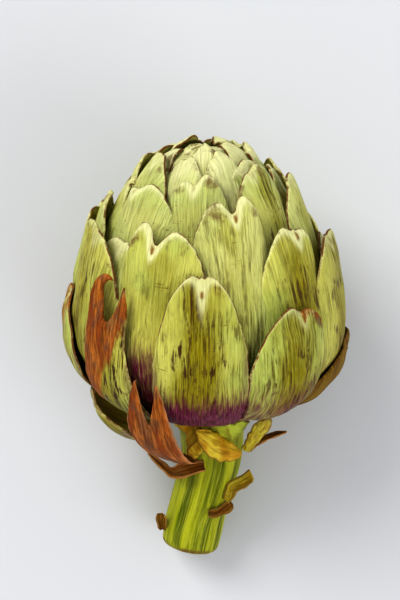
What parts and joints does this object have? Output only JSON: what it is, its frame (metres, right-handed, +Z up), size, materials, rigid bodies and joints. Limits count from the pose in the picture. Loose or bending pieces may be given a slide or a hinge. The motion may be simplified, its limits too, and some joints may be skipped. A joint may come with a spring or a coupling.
{
  "type": "artichoke",
  "caption": "Globe artichoke with a short cut stem, lying on its side: overlapping fleshy bracts close into a blunt cone, with dried bracts and leaf scraps at the neck.",
  "frame": {"origin": "the middle of the object's box in X and Y, on the surface that it lies on", "axes": "+Z up; +Y from the cut stem towards the tip of the bud; +X to the right, seen from above with the tip away"},
  "size_m": [0.1066, 0.1618, 0.1047],
  "materials": {
    "outer_bract": "satin green plant skin with brown streaks",
    "inner_bract": "satin pale green plant skin",
    "stem": "ribbed green plant stem",
    "dried_leaf": "dry matt brown leaf",
    "neck_leaf": "half-dried yellow-green leaf"
  },
  "bodies": {
    "root": {"bract_row1_1": "outer_bract", "bract_row1_2": "outer_bract", "bract_row1_3": "outer_bract", "bract_row1_4": "outer_bract", "bract_row1_5": "outer_bract", "bract_row1_6": "outer_bract", "bract_row1_7": "outer_bract", "bract_row1_8": "outer_bract", "bract_row2_1": "outer_bract", "bract_row2_2": "outer_bract", "bract_row2_3": "outer_bract", "bract_row2_4": "outer_bract", "bract_row2_5": "outer_bract", "bract_row2_6": "outer_bract", "bract_row2_7": "outer_bract", "bract_row2_8": "outer_bract", "bract_row3_1": "inner_bract", "bract_row3_2": "inner_bract", "bract_row3_3": "inner_bract", "bract_row3_4": "inner_bract", "bract_row3_5": "inner_bract", "bract_row3_6": "inner_bract", "bract_row3_7": "inner_bract", "bract_row4_1": "inner_bract", "bract_row4_2": "inner_bract", "bract_row4_3": "inner_bract", "bract_row4_4": "inner_bract", "bract_row4_5": "inner_bract", "bract_row4_6": "inner_bract", "bract_row4_7": "inner_bract", "bract_row5_1": "inner_bract", "bract_row5_2": "inner_bract", "bract_row5_3": "inner_bract", "bract_row5_4": "inner_bract", "bract_row5_5": "inner_bract", "bract_row5_6": "inner_bract", "bract_row6_1": "inner_bract", "bract_row6_2": "inner_bract", "bract_row6_3": "inner_bract", "bract_row6_4": "inner_bract", "bract_row6_5": "inner_bract", "bract_row6_6": "inner_bract", "bract_row7_1": "inner_bract", "bract_row7_2": "inner_bract", "bract_row7_3": "inner_bract", "bract_row7_4": "inner_bract", "low_bract_right": "dried_leaf", "low_bract_left": "outer_bract", "forked_dried_bract": "dried_leaf", "stem_and_heart": "stem", "folded_neck_leaf": "neck_leaf", "narrow_neck_leaf": "neck_leaf", "yellow_neck_leaf": "neck_leaf", "pale_neck_leaf": "neck_leaf", "brown_neck_leaf": "dried_leaf", "curled_neck_leaf": "dried_leaf", "stem_leaf_right": "neck_leaf", "stem_leaf_low_right": "dried_leaf", "stem_leaf_left": "dried_leaf"}
  },
  "joints": []
}
